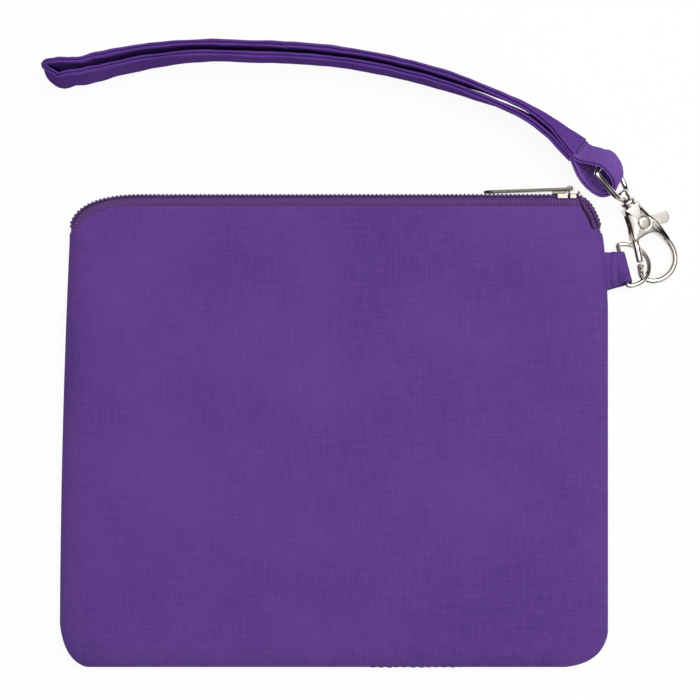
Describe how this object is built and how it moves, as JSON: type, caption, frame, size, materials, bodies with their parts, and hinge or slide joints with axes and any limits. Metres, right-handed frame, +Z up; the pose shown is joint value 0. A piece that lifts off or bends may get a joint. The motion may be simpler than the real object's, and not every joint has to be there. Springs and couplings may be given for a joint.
{
  "type": "zip wristlet pouch",
  "caption": "Flat padded cotton pouch with a zip along its top edge and a folded cotton wrist strap held by a swivel snap clasp on a D-ring in the side seam.",
  "frame": {"origin": "centre of the flat underside, on the surface that the pouch lies on", "axes": "+Z up through the pouch's thickness, +Y to the zip, +X to the D-ring side"},
  "size_m": [0.1897, 0.1884, 0.0141],
  "materials": {
    "panel_cotton": "plain-woven purple cotton, slightly slubby",
    "lining_cotton": "plain-woven cotton, darker",
    "zip_tape": "knitted polyester tape",
    "zip_coil": "nylon monofilament coil",
    "sewing_thread": "spun polyester thread",
    "nickel_plate": "polished nickel plate over zinc and steel"
  },
  "bodies": {
    "pouch": {"back_panel": "panel_cotton", "front_panel": "panel_cotton", "back_lining": "lining_cotton", "front_lining": "lining_cotton", "zip_tape_back": "zip_tape", "zip_tape_front": "zip_tape", "zip_coil_back": "zip_coil", "zip_coil_front": "zip_coil", "tape_stitching_back": "sewing_thread", "tape_stitching_front": "sewing_thread", "closing_stitches": "sewing_thread", "d_ring_tab": "panel_cotton"},
    "slider": {"zip_slider": "nickel_plate"},
    "pull": {"zip_pull": "nickel_plate"},
    "ring": {"d_ring": "nickel_plate"},
    "clasp": {"clasp_hook": "nickel_plate", "clasp_rivet": "nickel_plate", "clasp_spring": "nickel_plate"},
    "trigger": {"clasp_trigger": "nickel_plate"},
    "eye": {"swivel_eye": "nickel_plate"},
    "strap": {"wrist_strap": "panel_cotton", "strap_stitching": "sewing_thread"}
  },
  "joints": [
    {"name": "zip_slide", "type": "slide", "parent": "pouch", "child": "slider", "axis": [-1, 0, 0], "range_m": [0, 0.128]},
    {"name": "zip_pull_swing", "type": "hinge", "parent": "slider", "child": "pull", "pos_m": [0.0712, 0.0728, 0.0042], "axis": [0, 0, -1], "range_deg": [0, 45]},
    {"name": "d_ring_swing", "type": "hinge", "parent": "pouch", "child": "ring", "pos_m": [0.0871, 0.0499, 0.0042], "axis": [-0.1743, 0.8968, -0.4067], "range_deg": [-8, 60]},
    {"name": "clasp_round_ring", "type": "hinge", "parent": "ring", "child": "clasp", "pos_m": [0.08798, 0.05002, 0.00409], "axis": [0.0598, 0.4219, 0.9047], "range_deg": [-35, 8]},
    {"name": "trigger_swing", "type": "hinge", "parent": "clasp", "child": "trigger", "pos_m": [0.0927, 0.06255, 0.0051], "axis": [0.2306, -0.0266, 0.9727], "range_deg": [0, 25], "stiffness_Nm_per_rad": 0.02, "springref_deg": -17.19},
    {"name": "swivel", "type": "hinge", "parent": "clasp", "child": "eye", "pos_m": [0.08817, 0.06902, 0.00635], "axis": [0.5665, -0.8091, -0.1564], "continuous": true},
    {"name": "strap_swing", "type": "hinge", "parent": "eye", "child": "strap", "pos_m": [0.08046, 0.08003, 0.00848], "axis": [0.4213, 0.4475, -0.7888], "range_deg": [-20, 70]}
  ]
}
